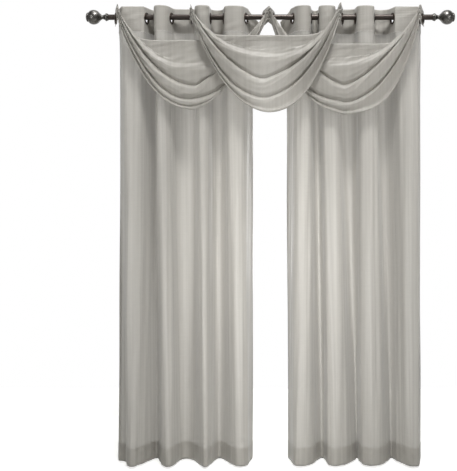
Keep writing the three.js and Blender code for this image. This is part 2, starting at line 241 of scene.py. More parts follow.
# Panels -------------------------------------------------------------------------------------------
# Two panels of crushed polyester voile, 1.27 m wide and 2.13 m long when finished, with an 83 mm
# hem turned up behind and 20 mm side hems. They hang in soft folds from the heading above them.
PANEL_TOP = 45
HEADING_DEPTH = 118
HEADING_FOOT = PANEL_TOP - HEADING_DEPTH
PANEL_WIDTH = 1270
HEM_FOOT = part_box("panel_left")[0].z / MM
HEM_DEPTH = 83
SIDE_HEM = 20
OUTER_RETURN = 60
INNER_RETURN = 80
EYELET_PITCH = (PANEL_WIDTH - OUTER_RETURN - INNER_RETURN) / 7
FLAT_AT_ROD = 28
FLAT_AT_HEM = 8
TURN_GAP = 1.0
FOLD_EASE = 0.7
CURVE_POINTS = 25
CURVE_HALVINGS = 20
EYELET_REACH = 14

# Where each panel crosses the rod's line: place at the rod and at the hem, and how many degrees the
# cloth slants there to the right, at the rod and at the hem.
left_crossings = [
    (-704, -674, 20, 10),
    (-581, -588, 18, 30),
    (-541, -515, 0, 15),
    (-464, -438, 17, 12),
    (-354, -344, 6, 24),
    (-283, -272, 4, 15),
    (-218, -194, 8, 28),
    (-115, -100, 20, 6),
]
right_crossings = [
    (105, 101, 20, 6),
    (190, 204, 6, 24),
    (227, 264, 0, 6),
    (303, 372, 4, 34),
    (400, 424, 6, 10),
    (485, 538, 5, 28),
    (573, 610, 18, 24),
    (698, 700, 21, 8),
]
# Soft creases from packing that hold in each panel: place along the cloth, width, depth towards the
# room, and the share of the drop where each starts and fades.
left_creases = [
    (107, 10, -3.5, 0.05, 1.0),
    (140, 8, 2.0, 0.00, 0.9),
    (465, 9, -2.5, 0.10, 1.0),
    (504, 11, -4.0, 0.00, 0.8),
    (576, 9, 2.5, 0.10, 0.9),
    (753, 10, 3.0, 0.00, 1.0),
    (794, 8, -2.5, 0.05, 0.7),
    (841, 9, 2.0, 0.20, 1.0),
    (1055, 9, 2.5, 0.00, 0.8),
    (1100, 10, -3.5, 0.10, 1.0),
    (1151, 9, 2.5, 0.00, 1.0),
]
right_creases = [
    (131, 9, -3.0, 0.00, 1.0),
    (175, 9, 2.5, 0.10, 0.9),
    (242, 9, -2.5, 0.00, 1.0),
    (440, 10, -4.0, 0.00, 1.0),
    (468, 8, -2.0, 0.05, 0.8),
    (505, 9, -2.0, 0.20, 1.0),
    (744, 9, -3.0, 0.00, 1.0),
    (805, 10, -3.5, 0.05, 1.0),
    (838, 9, 2.5, 0.00, 0.8),
    (1025, 9, -3.0, 0.00, 1.0),
    (1070, 10, 3.0, 0.10, 1.0),
    (1107, 9, -3.0, 0.00, 0.9),
    (1144, 10, 3.0, 0.00, 1.0),
    (1169, 8, -2.5, 0.10, 1.0),
]
# The cloth beyond the end eyelets: its length, and its slant at the rod and at the hem.
left_outer_edge = (OUTER_RETURN, 0, 55)
right_outer_edge = (OUTER_RETURN, 0, 13)
inner_edge = (INNER_RETURN, 24, 12)
panels = {
    "left": (left_crossings, left_outer_edge, inner_edge, left_creases),
    "right": (right_crossings, inner_edge, right_outer_edge, right_creases),
}


def mix(a, b, t):
    return a + (b - a) * t


def smooth(t):
    held = np.clip(t, 0, 1)
    return held * held * (3 - 2 * held)


def slant(lean, way):
    """The plan direction of the cloth at a crossing: way is -1 towards the room, 1 to the wall."""
    return np.array([math.sin(math.radians(lean)), way * math.cos(math.radians(lean))])


def fold_curve(start, leaving, end, arriving, length):
    """The plan curve of one fold, as long as the cloth between two eyelets."""
    t = np.linspace(0, 1, CURVE_POINTS)[:, None]

    def curve(reach):
        first, second = start + leaving * reach, end - arriving * reach
        return (
            (1 - t) ** 3 * start
            + 3 * (1 - t) ** 2 * t * first
            + 3 * (1 - t) * t**2 * second
            + t**3 * end
        )

    low, high = 0, length
    for _ in range(CURVE_HALVINGS):
        reach = (low + high) / 2
        if np.linalg.norm(np.diff(curve(reach), axis=0), axis=1).sum() < length:
            low = reach
        else:
            high = reach
    return curve(low)


def evenly(path, count):
    """The same line with its points evenly spaced."""
    steps = np.linalg.norm(np.diff(path, axis=0), axis=1)
    along = np.concatenate([[0], np.cumsum(steps)])
    wanted = np.linspace(0, along[-1], count)
    return np.stack([np.interp(wanted, along, path[:, i]) for i in range(path.shape[1])], axis=1)


def plan_line(crossings, before, after, ease, count):
    """The plan line of a panel, eased from its heading (0) to its hem (1)."""
    flat = mix(FLAT_AT_ROD, FLAT_AT_HEM, ease)
    centres = [np.array([mix(row[0], row[1], ease), 0.0]) for row in crossings]
    slants = [slant(mix(row[2], row[3], ease**2), i % 2 * 2 - 1) for i, row in enumerate(crossings)]
    start_edge = slant(mix(before[1], before[2], ease), -1)
    end_edge = slant(mix(after[1], after[2], ease), 1)
    first = centres[0] - slants[0] * flat
    last = centres[-1] + slants[-1] * flat
    path = [[first - start_edge * (before[0] - flat), first]]
    for i in range(len(centres) - 1):
        leaving = centres[i] + slants[i] * flat
        arriving = centres[i + 1] - slants[i + 1] * flat
        length = EYELET_PITCH - 2 * flat
        path.append(fold_curve(leaving, slants[i], arriving, slants[i + 1], length))
    path.append([last, last + end_edge * (after[0] - flat)])
    return evenly(np.concatenate(path), count)


def ripple(u, v, waves, seed):
    """Low uneven waves of hung cloth, in mm. Each wave row is width, height and depth."""
    draw = np.random.default_rng(seed)
    total = np.zeros(np.broadcast(u, v).shape)
    for width, height, depth in waves:
        for _ in range(3):
            a, b = draw.uniform(0.7, 1.5, 2)
            turn = 2 * math.pi * (u / (width * a) + v / (height * b)) + draw.uniform(0, 2 * math.pi)
            total += depth / 3 * np.sin(turn)
    return total


def normals_of(grid):
    """The unit normal of a sheet at each point of its grid."""
    across = np.gradient(grid, axis=1)
    down = np.gradient(grid, axis=0)
    normal = np.cross(across, down)
    return normal / np.maximum(np.linalg.norm(normal, axis=2, keepdims=True), 1e-9)


def along_fold(grid):
    """1 where the cloth's front face looks into the room, -1 where it looks to the wall."""
    return np.where(normals_of(grid)[..., 1] < 0, 1, -1)


def turn_edges(grid, cut, top=0, foot=0, start=0, end=0, gap=TURN_GAP):
    """Turns hems to the back: top, foot, start and end are how many rows or columns turn."""
    rows, columns = grid.shape[:2]
    row = [*range(top, 0, -1), *range(rows), *range(rows - 2, rows - 2 - foot, -1)]
    column = [*range(start, 0, -1), *range(columns), *range(columns - 2, columns - 2 - end, -1)]
    turned_rows = np.array([1] * top + [0] * rows + [1] * foot)
    turned_columns = np.array([1] * start + [0] * columns + [1] * end)
    layer = np.maximum(turned_rows[:, None], turned_columns[None, :])
    layer = layer + np.minimum(turned_rows[:, None], turned_columns[None, :])
    picked = np.ix_(row, column)
    hemmed = grid[picked] - normals_of(grid)[picked] * (layer * gap)[..., None]
    flat_rows = np.cumsum(np.concatenate([[0], np.abs(np.diff(cut[picked][:, 0, 1]))]))
    flat_columns = np.cumsum(np.concatenate([[0], np.abs(np.diff(cut[picked][0, :, 0]))]))
    flat = np.stack(np.meshgrid(flat_columns, flat_rows), axis=2)
    return hemmed, flat


def cloth(name, grid, cut, material, holes=(), hole_radius=0):
    """A sheet from a grid of points in mm. cut is each point's place on the flat cloth, in mm."""
    rows, columns = grid.shape[:2]
    points = grid.reshape(-1, 3).copy()
    index = np.arange(rows * columns).reshape(rows, columns)
    faces = np.stack(
        [index[:-1, :-1], index[1:, :-1], index[1:, 1:], index[:-1, 1:]], axis=2
    ).reshape(-1, 4)
    for centre, axis in holes:
        offset = points - centre
        depth = offset @ axis
        radial = offset - depth[:, None] * axis
        reach = np.linalg.norm(radial, axis=1)
        inside = (np.abs(depth) < EYELET_REACH) & (reach < hole_radius)
        cut_out = inside[faces].sum(axis=1) >= 3
        rim = np.setdiff1d(np.intersect1d(faces[cut_out], faces[~cut_out]), [])
        faces = faces[~cut_out]
        points[rim] += radial[rim] * (hole_radius / np.maximum(reach[rim], 1) - 1)[:, None]
    mesh = bpy.data.meshes.new(name)
    used, compact = np.unique(faces, return_inverse=True)
    faces = compact.reshape(faces.shape)
    mesh.from_pydata((points[used] * MM).tolist(), [], faces.tolist())
    flat = cut.reshape(-1, 2)[used] * MM
    mesh.uv_layers.new(name="cut").data.foreach_set("uv", flat[faces.ravel()].ravel())
    mesh.materials.append(material)
    mesh.shade_smooth()
    piece = bpy.data.objects.new(name, mesh)
    bpy.context.scene.collection.objects.link(piece)
    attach(piece, "root")
    return piece


def voile(name, pale, dark, cover, seed):
    """Crushed polyester voile: plain weave of fine twisted yarn, heat-crinkled. Threads lie 0.4 mm
    apart, too fine to show, so the weave is drawn as 4 mm slubs and broad streaks. The eye sees a
    matt, faintly shiny grey-beige sheet that lets some light through and darkens where it is
    doubled. cover is how much of the sheet is yarn, and seed moves its pattern."""
    material, tree = new_material(name)
    flat = node(tree, "ShaderNodeUVMap", {"uv_map": "cut"}).outputs["UV"]
    drawn = {}
    for label, scale, fineness in (
        ("warp", (240, 5, 1), 3),
        ("weft", (12, 260, 1), 2),
        ("crush", (34, 22, 1), 4),
        ("streak", (75, 0.9, 1), 3),
    ):
        stretched = node(
            tree,
            "ShaderNodeMapping",
            {"Scale": scale, "Location": (seed, seed / 2, 0)},
            {"Vector": flat},
        )
        drawn[label] = node(
            tree,
            "ShaderNodeTexNoise",
            {"Scale": 1, "Detail": fineness},
            {"Vector": stretched.outputs[0]},
        ).outputs["Fac"]
    yarn = node(
        tree, "ShaderNodeMath", {"operation": "ADD"}, {0: drawn["warp"], 1: drawn["weft"]}
    ).outputs[0]
    light_and_dark = node(
        tree,
        "ShaderNodeMath",
        {"operation": "MULTIPLY_ADD", 1: 0.08},
        {0: yarn, 2: drawn["streak"]},
    ).outputs[0]
    share = node(
        tree, "ShaderNodeMapRange", {"From Min": 0.3, "From Max": 0.85}, {"Value": light_and_dark}
    ).outputs["Result"]
    tone = node(
        tree,
        "ShaderNodeMix",
        {"data_type": "RGBA", 6: linear(dark), 7: linear(pale)},
        {"Factor": share},
    ).outputs[2]
    height = node(
        tree, "ShaderNodeMath", {"operation": "MULTIPLY_ADD", 1: 0.15}, {0: yarn, 2: drawn["crush"]}
    ).outputs[0]
    crinkle = node(
        tree, "ShaderNodeBump", {"Strength": 0.5, "Distance": 0.002}, {"Height": height}
    ).outputs["Normal"]
    yarns = node(
        tree,
        "ShaderNodeBsdfPrincipled",
        {"Roughness": 0.5, "Sheen Weight": 0.3, "Sheen Roughness": 0.35, "Specular IOR Level": 0.5},
        {"Base Color": tone, "Normal": crinkle},
    )
    glow = node(tree, "ShaderNodeBsdfTranslucent", {}, {"Color": tone, "Normal": crinkle})
    thread = node(
        tree, "ShaderNodeMixShader", {0: 0.22}, {1: yarns.outputs[0], 2: glow.outputs[0]}
    )
    closeness = node(
        tree,
        "ShaderNodeMapRange",
        {"From Min": 0.6, "From Max": 1.4, "To Min": cover - 0.02, "To Max": cover + 0.02},
        {"Value": yarn},
    ).outputs["Result"]
    gap = node(tree, "ShaderNodeBsdfTransparent")
    finish_material(
        tree,
        node(
            tree, "ShaderNodeMixShader", {}, {0: closeness, 1: gap.outputs[0], 2: thread.outputs[0]}
        ),
    )
    return material


panel_voile = voile("crushed_voile_single", "#bab7b0", "#a5a19a", 0.93, 3)
PANEL_ROWS = 170
PANEL_COLUMNS = 255
TOP_GAP = 0.3
FOOT_GAP = 1.5
RIPPLE_EASE = 150
CREASE_DRIFT = 10
CREASE_START = 0.08
CREASE_END = 0.12
folds_seed = {"left": 11, "right": 12}
panel_grids = {}
for side, (crossings, before, after, creases) in panels.items():
    heights = np.linspace(HEADING_FOOT - TOP_GAP, HEM_FOOT + FOOT_GAP, PANEL_ROWS)
    grid = np.zeros((PANEL_ROWS, PANEL_COLUMNS, 3))
    for i, z in enumerate(heights):
        down = i / (PANEL_ROWS - 1)
        grid[i, :, :2] = plan_line(crossings, before, after, down**FOLD_EASE, PANEL_COLUMNS)
        grid[i, :, 2] = z
    u, v = np.meshgrid(np.linspace(0, PANEL_WIDTH, PANEL_COLUMNS), heights[0] - heights)
    waves = [(90, 1500, 1.6), (42, 900, 1.2), (20, 600, 0.5)]
    away = ripple(u, v, waves, folds_seed[side]) * smooth(v / RIPPLE_EASE)
    faces_room = along_fold(grid)
    down = v / v[-1, -1]
    for place, width, depth, start, end in creases:
        drift = place + CREASE_DRIFT * np.sin(down * 4 + place)
        held = smooth((down - start) / CREASE_START)
        held *= smooth((end + CREASE_START - down) / CREASE_END)
        away -= depth * held * np.exp(-(((u - drift) / width) ** 2)) * faces_room
    grid += normals_of(grid) * away[..., None]
    hem_rows = round(HEM_DEPTH / (heights[0] - heights[1]))
    side_columns = round(SIDE_HEM / (u[0, 1] - u[0, 0]))
    hemmed, flat = turn_edges(
        grid, np.stack([u, v], axis=2), foot=hem_rows, start=side_columns, end=side_columns
    )
    panel = cloth(f"voile_panel_{side}", hemmed, flat, panel_voile)
    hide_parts(f"panel_{side}")
    panel_grids[side] = grid

# Headings -----------------------------------------------------------------------------------------
# The top 118 mm of each panel is folded double over a stiff band and stitched down, so it stands
# in upright waves. Its eyelets are punched through both layers, and its loose inner corner sags.
HEADING_COLUMNS = 424
HEADING_ROWS = 40
BAND_GAP = 1.4
CORNER_SLANT = 72
CORNER_SAG = 60
CORNER_CURVE = 0.8
EYELET_RADIUS = 23.6
RING_DROP = 6.1


def eyelets_of(crossings):
    """The middle and the axis of each eyelet in a heading."""
    found = []
    for i, row in enumerate(crossings):
        angle = math.radians(-row[2] if i % 2 else row[2])
        axis = np.array([math.cos(angle), math.sin(angle), 0])
        found.append((np.array([row[0], 0, -RING_DROP]), axis))
    return found


heading_grids = {}
# The doubled voile has paler tones than the single panel cloth. This is painted light that lifts
# the shade in the heading's back folds.
band_voile_painted_lighter = voile("crushed_voile_double_painted_lighter", "#c0bdb6", "#b0aca5", 0.97, 8)
for side, (crossings, before, after, creases) in panels.items():
    heights = np.linspace(PANEL_TOP, HEADING_FOOT, HEADING_ROWS)
    u, v = np.meshgrid(np.linspace(0, PANEL_WIDTH, HEADING_COLUMNS), PANEL_TOP - heights)
    grid = np.zeros((HEADING_ROWS, HEADING_COLUMNS, 3))
    for i, z in enumerate(heights):
        down = i / (HEADING_ROWS - 1)
        edges = [
            (edge[0], mix(CORNER_SLANT, edge[1], down), 0) if edge is inner_edge else edge
            for edge in (before, after)
        ]
        grid[i, :, :2] = plan_line(crossings, *edges, 0, HEADING_COLUMNS)
        grid[i, :, 2] = z
    inward = u if before is inner_edge else PANEL_WIDTH - u
    past_eyelet = np.clip(1 - inward / (INNER_RETURN - FLAT_AT_ROD), 0, 1)
    grid[..., 2] -= CORNER_SAG * past_eyelet**CORNER_CURVE * (1 - v / HEADING_DEPTH)
    away = ripple(u, v, [(120, 40, 0.7), (260, 11, 0.45)], folds_seed[side] + 10)
    grid += normals_of(grid) * away[..., None]
    heading_grids[side] = grid
    doubled, flat = turn_edges(grid, np.stack([u, v], axis=2), top=HEADING_ROWS - 1, gap=BAND_GAP)
    heading = cloth(
        f"voile_heading_{side}",
        doubled,
        flat,
        band_voile_painted_lighter,
        eyelets_of(crossings),
        EYELET_RADIUS,
    )
    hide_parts(f"heading_{side}")

# Swags --------------------------------------------------------------------------------------------
# Three cowl-draped valances of the same voile. Each is pleated into an eyelet at both ends, so its
# top hangs as a shallow trough and the cloth falls in deep folds with soft bright rims.
TAB_BEHIND = 28.5
TAB_FRONT = 52
TAB_FOOT = -40
TAB_BACK_FALL = 20
TAB_FOOT_RISE = 10
PLEAT_DEPTH = 0.3
GATHER_TOP = 9
GATHER_FOOT = 6
EARLY_DROP = 22
TAB_CLEARANCE = 6
SETTLE_START = 10
SETTLE_DROP = 110
CREST_OUT = 24
SHALLOW_MIDDLE = 0.5
EARLY_SQUARE = 18
POINT_SHARE = 0.25
RELIEF_AT_TAB = 0.6
RELIEF_SHARE = 0.4
RELIEF_AT_GATHER = 0.8
HELD_BY_TAB = 90
HELD_EASE = 60

# The cut runs over five lines of the drape, 0 to 4: the top hem, three folds and the bottom hem.
# The section through a swag: the line (a share of the way to the next), how far below it, the
# height at the gathered ends, how far it stands forward, and the rows of cloth down to the next.
swag_section = [
    (0.0, 0, 34.0, 4, 4),
    (0.0, 19, 33.0, 3, 6),
    (0.55, 0, 32.0, 1, 5),
    (1.0, -26, 31.6, 4, 4),
    (1.0, -14, 31.3, 6, 3),
    (1.0, -4, 31.0, 13, 4),
    (1.0, 7, 30.5, 20, 4),
    (1.0, 18, 29.0, 21, 5),
    (1.5, 0, 27.0, 17, 5),
    (2.0, -18, 25.5, 10, 4),
    (2.0, -4, 24.5, -11, 4),
    (2.0, -2, 23.5, 0, 3),
    (2.0, 1, 22.8, 9, 3),
    (2.0, 6, 22.0, 17, 3),
    (2.0, 12, 21.0, 22, 4),
    (2.0, 20, 19.0, 24.5, 4),
    (2.0, 38, 15.0, 24, 5),
    (3.0, -18, 11.0, 15, 4),
    (3.0, -4, 8.5, -9, 3),
    (3.0, -2, 7.5, 1, 3),
    (3.0, 1, 6.5, 9, 3),
    (3.0, 6, 5.0, 16, 3),
    (3.0, 12, 2.0, 20, 4),
    (3.0, 22, -3.0, 18, 3),
    (4.0, -10, -12.0, 0, 3),
    (4.0, -8, -14.0, 8, 3),
    (4.0, -4, -17.0, 15, 3),
    (4.0, 4, -22.0, 17, 0),
]
# For each line of a swag: how low it hangs, where that is from left (0) to right (1), how square
# its curve is on the left and on the right, and how much lower still its point hangs.
left_lines = [
    (-122, 0.50, 7.00, 7.00, 0),
    (-241, 0.42, 1.90, 4.60, 0),
    (-333, 0.52, 2.00, 1.28, 1),
    (-395, 0.47, 2.00, 2.30, 0),
    (-431, 0.50, 2.35, 1.85, 6),
]
middle_lines = [
    (-105, 0.48, 7.00, 7.00, 0),
    (-198, 0.59, 2.80, 2.45, 5),
    (-293, 0.48, 1.80, 2.00, 13),
    (-384, 0.49, 2.20, 2.10, 8),
    (-448, 0.53, 2.15, 2.40, 5),
]
right_lines = [
    (-138, 0.50, 7.00, 7.00, 0),
    (-232, 0.48, 3.00, 2.30, 0),
    (-330, 0.49, 1.50, 1.55, 1),
    (-398, 0.51, 2.90, 2.10, 12),
    (-447, 0.52, 2.70, 3.10, 14),
]
# Each swag: its lines, where its two ends cross the rod, how many degrees each end turns its front
# edge towards the swag's middle, how deep its valleys are beside each end, the height of the two
# peaks and how sharp each is, and its distance before the rod.
swags = {
    "left": (left_lines, (-724, -29), (15, -22), (1.0, 1.0), (53, 43), (0.7, 0.5), 77),
    "middle": (middle_lines, (-370, 336), (-2, 14), (1.0, 1.25), (50, 60), (1.5, 1.2), 112),
    "right": (right_lines, (11, 713), (-22, 21), (1.3, 1.0), (43, 49), (0.5, 1.0), 77),
}
tab_reaches = np.linspace(-TAB_BEHIND, TAB_FRONT, 7)
half_stations = np.array([0, 0.02, 0.045, 0.075, 0.11, 0.15, 0.2, 0.26, 0.33, 0.4, 0.46])
swag_stations = np.concatenate([half_stations, [0.5], 1 - half_stations[::-1]])
SPLINE_STEPS = 8


def spline(controls, steps):
    """A smooth line through control points, one set of points for each row."""
    before = np.concatenate([controls[:, :1], controls[:, :-1]], axis=1)
    after = np.concatenate([controls[:, 2:], controls[:, -1:], controls[:, -1:]], axis=1)
    following = np.concatenate([controls[:, 1:], controls[:, -1:]], axis=1)
    pieces = []
    for t in np.arange(steps) / steps:
        pieces.append(
            0.5
            * (
                2 * controls
                + (following - before) * t
                + (2 * before - 5 * controls + 4 * following - after) * t**2
                + (3 * controls - before - 3 * following + after) * t**3
            )
        )
    smooth_line = np.stack(pieces, axis=2).reshape(controls.shape[0], -1, 3)
    return smooth_line[:, : (controls.shape[1] - 1) * steps + 1]


def drape_lines(lines):
    """Every row of a swag: its share of the way down, the columns of its section, then its line."""
    count = len(swag_section) - 1
    rows = []
    for i, (line, below, start, out, steps) in enumerate(swag_section):
        base = min(int(line), len(lines) - 2)
        hang = [mix(a, b, line - base) for a, b in zip(lines[base], lines[base + 1])]
        rows.append((i / count, start, out, hang[0] - below, *hang[1:], steps))
    drawn = []
    for row, following in zip(rows, rows[1:] + rows[-1:]):
        steps = max(row[-1], 1)
        for step in range(steps):
            drawn.append([mix(a, b, step / steps) for a, b in zip(row[:-1], following[:-1])])
    return np.array(drawn)


def swag_grid(lines, ends, turns, depths, peaks, crowns, before):
    """The sheet of a swag, in mm: over one tab, down through the drape and over the other tab."""
    rows = drape_lines(lines)
    controls = np.zeros((len(rows), 2 * len(tab_reaches) + len(swag_stations), 3))
    fronts = []
    for end, sign in ((0, 1), (1, -1)):
        angle = math.radians(turns[end])
        front = ends[end] + sign * math.sin(angle) * TAB_FRONT
        fronts.append((front, -math.cos(angle) * TAB_FRONT))
    for r, (share, start, out, low, low_at, left_square, right_square, point) in enumerate(rows):
        for end, sign in ((0, 1), (1, -1)):
            angle = math.radians(turns[end])
            forward = (tab_reaches + TAB_BEHIND) / (TAB_FRONT + TAB_BEHIND)
            top = mix(peaks[end] - TAB_BACK_FALL, peaks[end], forward ** crowns[end])
            foot = mix(TAB_FOOT, TAB_FOOT + TAB_FOOT_RISE, forward**2)
            tab = np.stack(
                [
                    ends[end] + sign * math.sin(angle) * tab_reaches,
                    -math.cos(angle) * tab_reaches,
                    mix(top, foot, share),
                ],
                axis=1,
            )
            tab[:, 0] -= (out - CREST_OUT / 2) * PLEAT_DEPTH * forward**2
            if end == 0:
                controls[r, : len(tab)] = tab
            else:
                controls[r, -len(tab) :] = tab[::-1]
        inset = mix(GATHER_TOP, GATHER_FOOT, share)
        for c, station in enumerate(swag_stations):
            end = 0 if station < low_at else 1
            side = station / low_at if end == 0 else (1 - station) / (1 - low_at)
            square = left_square if end == 0 else right_square
            top = start + (1 - share) * (peaks[end] - peaks[0])
            early = EARLY_DROP * (1 - share)
            drop = (top - low - early) * (1 - (1 - side) ** square)
            drop += early * (1 - (1 - side) ** EARLY_SQUARE)
            drop += point * np.clip((side - 1 + POINT_SHARE) / POINT_SHARE, 0, 1)
            settled = smooth((drop + SETTLE_START) / SETTLE_DROP)
            deep = mix(depths[end], SHALLOW_MIDDLE, smooth(side * 1.4 - 0.2))
            relief = CREST_OUT - (CREST_OUT - out) * deep
            relief *= mix(RELIEF_AT_TAB, 1, smooth(side / RELIEF_SHARE))
            gathered = fronts[end][1] - TAB_CLEARANCE - relief * RELIEF_AT_GATHER
            controls[r, len(tab_reaches) + c] = (
                mix(fronts[0][0] + inset, fronts[1][0] - inset, station),
                mix(gathered, -before - relief, settled),
                top - drop,
            )
    return spline(controls, SPLINE_STEPS)


def flat_places(grid):
    """Each point's place on the flat cloth, from the middle lengths of its rows and columns."""
    across = np.linalg.norm(np.diff(grid, axis=1), axis=2).mean(axis=0)
    down = np.linalg.norm(np.diff(grid, axis=0), axis=2)
    down = np.quantile(down, 0.8, axis=1)
    u = np.concatenate([[0], np.cumsum(across)])
    v = np.concatenate([[0], np.cumsum(down)])
    return np.stack(np.meshgrid(u, v), axis=2)


swag_voile = voile("crushed_voile_swag", "#b6b3ac", "#a9a59e", 0.965, 5)
# The flat cloth of each swag: width and length in mm, and its area in m2. The area is smaller than
# width by length, since the sheet narrows to the height of a tab at each end.
swag_cuts = {
    "left": (1232, 400, 0.307),
    "middle": (1226, 400, 0.314),
    "right": (1246, 423, 0.333),
}
SWAG_TOP_HEM = 5
SWAG_FOOT_HEM = 4
swag_eyelets = {}
swag_grids = {}
for place_name, (lines, *shape) in swags.items():
    ends, turns = shape[:2]
    grid = swag_grid(lines, *shape)
    flat = flat_places(grid)
    half = flat[0, -1, 0] / 2
    held = smooth((half - np.abs(flat[..., 0] - half) - HELD_BY_TAB) / HELD_EASE)
    waves = [(60, 45, 1.0), (26, 30, 0.5), (160, 22, 0.8)]
    away = ripple(flat[..., 0], flat[..., 1], waves, len(place_name)) * held
    grid += normals_of(grid) * away[..., None]
    swag_grids[place_name] = grid
    hemmed, cut = turn_edges(grid, flat, top=SWAG_TOP_HEM, foot=SWAG_FOOT_HEM)
    holes = []
    for end, sign in ((0, 1), (1, -1)):
        angle = math.radians(turns[end] * sign)
        axis = np.array([math.cos(angle), math.sin(angle), 0])
        holes.append((np.array([ends[end], 0, -RING_DROP]), axis))
    swag_eyelets[place_name] = holes
    swag = cloth(
        f"voile_swag_{place_name}", hemmed, cut, swag_voile, holes, EYELET_RADIUS
    )
    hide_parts(f"swag_{place_name}")
    width, length, area = swag_cuts[place_name]

# Stitching ----------------------------------------------------------------------------------------
# Lockstitch of pale polyester thread: two rows along each heading's foot, one along each panel's
# hem, and one along each of the two long hems of every swag.
STITCH_LENGTH = 3.2
STITCH_PITCH = 4.4
STITCH_RADIUS = 0.35
# Along one stitch: share of its length, lift off the cloth in mm, and share of the full girth.
stitch_shape = [(0, -0.2, 0.6), (0.25, 0.35, 1), (0.75, 0.35, 1), (1, -0.2, 0.6)]

# Spun polyester thread: matt, with a fine twist. It is a shade paler than the cloth, so a row shows
# as a thin broken light line.
thread, tree = new_material("pale_polyester_thread")
place = node(tree, "ShaderNodeTexCoord").outputs["Object"]
twist = node(tree, "ShaderNodeTexNoise", {"Scale": 700, "Detail": 2}, {"Vector": place})
tone = node(
    tree,
    "ShaderNodeMix",
    {"data_type": "RGBA", 6: linear("#c6c3bb"), 7: linear("#d8d5cd")},
    {"Factor": twist.outputs["Fac"]},
)
finish_material(
    tree,
    node(tree, "ShaderNodeBsdfPrincipled", {"Roughness": 0.7}, {"Base Color": tone.outputs[2]}),
)


def stitch_row(line, outward):
    """Points and faces of a row of stitches that lie on a line, on the side that outward gives."""
    steps = np.linalg.norm(np.diff(line, axis=0), axis=1)
    along = np.concatenate([[0], np.cumsum(steps)])
    starts = np.arange(STITCH_PITCH, along[-1] - STITCH_PITCH, STITCH_PITCH)

    def at(distance, of):
        return np.stack([np.interp(distance, along, of[:, i]) for i in range(3)], axis=1)

    points = []
    for share, lift, girth in stitch_shape:
        middle = at(starts + share * STITCH_LENGTH, line)
        out = at(starts + share * STITCH_LENGTH, outward)
        ahead = at(starts + share * STITCH_LENGTH + 0.5, line) - middle
        across = np.cross(ahead, out)
        across /= np.maximum(np.linalg.norm(across, axis=1, keepdims=True), 1e-9)
        for turn in range(4):
            a = turn * math.pi / 2
            ring = across * math.cos(a) + out * math.sin(a)
            points.append(middle + out * lift + ring * STITCH_RADIUS * girth)
    points = np.stack(points, axis=1)
    faces = [(0, 3, 2, 1), (12, 13, 14, 15)]
    for band in range(3):
        for turn in range(4):
            a, b = band * 4 + turn, band * 4 + (turn + 1) % 4
            faces.append((a, b, b + 4, a + 4))
    offsets = np.arange(len(starts))[:, None, None] * 16
    return points.reshape(-1, 3), (np.array(faces)[None] + offsets).reshape(-1, 4)


def stitching(name, rows):
    """One piece made of several rows of stitches."""
    points, faces, count = [], [], 0
    for line, outward in rows:
        row_points, row_faces = stitch_row(line, outward)
        points.append(row_points)
        faces.append(row_faces + count)
        count += len(row_points)
    mesh = bpy.data.meshes.new(name)
    mesh.from_pydata((np.concatenate(points) * MM).tolist(), [], np.concatenate(faces).tolist())
    mesh.materials.append(thread)
    mesh.shade_smooth()
    piece = bpy.data.objects.new(name, mesh)
    bpy.context.scene.collection.objects.link(piece)
    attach(piece, "root")


for side in panels:
    grid = heading_grids[side]
    outward = normals_of(grid)
    rows = [(grid[r], outward[r]) for r in (HEADING_ROWS - 3, HEADING_ROWS - 5)]
    stitching(f"{side}_heading_stitching", rows)
    grid = panel_grids[side]
    hem_row = PANEL_ROWS - 1 - hem_rows
    stitching(f"{side}_hem_stitching", [(grid[hem_row], normals_of(grid)[hem_row])])
for place_name, grid in swag_grids.items():
    outward = normals_of(grid)
    rows = [(grid[r], outward[r]) for r in (SWAG_TOP_HEM, len(grid) - 1 - SWAG_FOOT_HEM)]
    stitching(f"{place_name}_swag_stitching", rows)

# Eyelet rings -------------------------------------------------------------------------------------
# Snap rings of plated steel, 55 mm outside and 40 mm inside, in two halves pressed together through
# the cloth. Each has a rolled lip and hangs with the top of its bore near the rod.
RING_SEGMENTS = 48
ring_profile = [
    (-1.0, 22.6), (-1.2, 24.6), (-1.3, 26.8), (-2.1, 27.5), (-3.2, 27.1), (-4.2, 25.8),
    (-4.9, 24.0), (-5.2, 22.2), (-4.9, 20.7), (-3.9, 20.1), (-1.9, 20.0), (1.9, 20.0), (3.9, 20.1),
    (4.9, 20.7), (5.2, 22.2), (4.9, 24.0), (4.2, 25.8), (3.2, 27.1), (2.1, 27.5), (1.3, 26.8),
    (1.2, 24.6), (1.0, 22.6), (-1.0, 22.6),
]

# Dark bronze plate on thin steel, worn to a satin: the rolled lip catches a fine soft line of
# light.
ring_plate, tree = new_material("dark_bronze_plate")
place = node(tree, "ShaderNodeTexCoord").outputs["Object"]
cloudy = node(tree, "ShaderNodeTexNoise", {"Scale": 120, "Detail": 3}, {"Vector": place})
tone = node(
    tree,
    "ShaderNodeMix",
    {"data_type": "RGBA", 6: linear("#3b332e"), 7: linear("#5a5049")},
    {"Factor": cloudy.outputs["Fac"]},
)
polish = node(
    tree, "ShaderNodeMapRange", {"To Min": 0.36, "To Max": 0.46}, {"Value": cloudy.outputs["Fac"]}
)
finish_material(
    tree,
    node(
        tree,
        "ShaderNodeBsdfPrincipled",
        {"Metallic": 1.0},
        {"Base Color": tone.outputs[2], "Roughness": polish.outputs["Result"]},
    ),
)


def snap_ring(name, centre, axis, stands_for):
    """A ring about an eyelet's middle, in the place of the plain ring that stands_for names."""
    ring = turned(name, ring_profile, ring_plate, RING_SEGMENTS)
    place = Matrix.Translation([c * MM for c in centre])
    ring.data.transform(place @ Matrix.Rotation(math.atan2(axis[1], axis[0]), 4, "Z"))
    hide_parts(stands_for)


